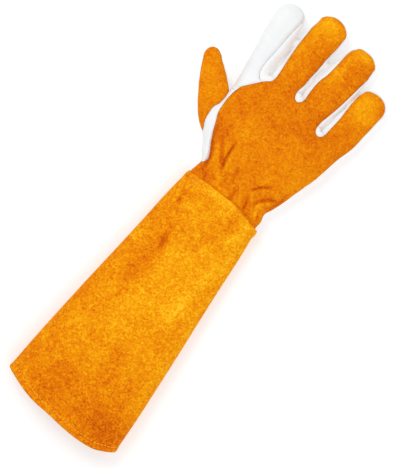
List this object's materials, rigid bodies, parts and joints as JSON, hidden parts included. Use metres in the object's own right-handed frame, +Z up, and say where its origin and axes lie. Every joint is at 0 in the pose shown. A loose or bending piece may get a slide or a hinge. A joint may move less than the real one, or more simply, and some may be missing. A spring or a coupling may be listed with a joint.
{
  "type": "rose pruning gauntlet",
  "caption": "Long-cuffed leather work glove for the right hand, suede back and cuff, smooth pale palm with a suede patch, lying palm down.",
  "frame": {"origin": "on the surface the glove lies on, under the middle of its outline", "axes": "+Y to the fingertips, +X to the little finger's side, +Z up out of the back of the hand"},
  "size_m": [0.1678, 0.4592, 0.03],
  "materials": {
    "suede": "napped orange split leather",
    "cuff_suede": "napped orange split leather, slightly darker",
    "grain_leather": "smooth off-white grain leather, satin",
    "strip_leather": "smooth off-white grain leather, satin"
  },
  "bodies": {
    "root": {"gauntlet_cuff": "cuff_suede", "wrist_band": "suede", "back_panel": "suede", "index_back": "grain_leather", "palm_panel": "grain_leather", "thumb_front": "grain_leather", "thumb_back": "suede", "palm_patch": "suede", "fourchette_index_middle": "strip_leather", "fourchette_middle_ring": "strip_leather", "fourchette_ring_little": "strip_leather"}
  },
  "joints": []
}
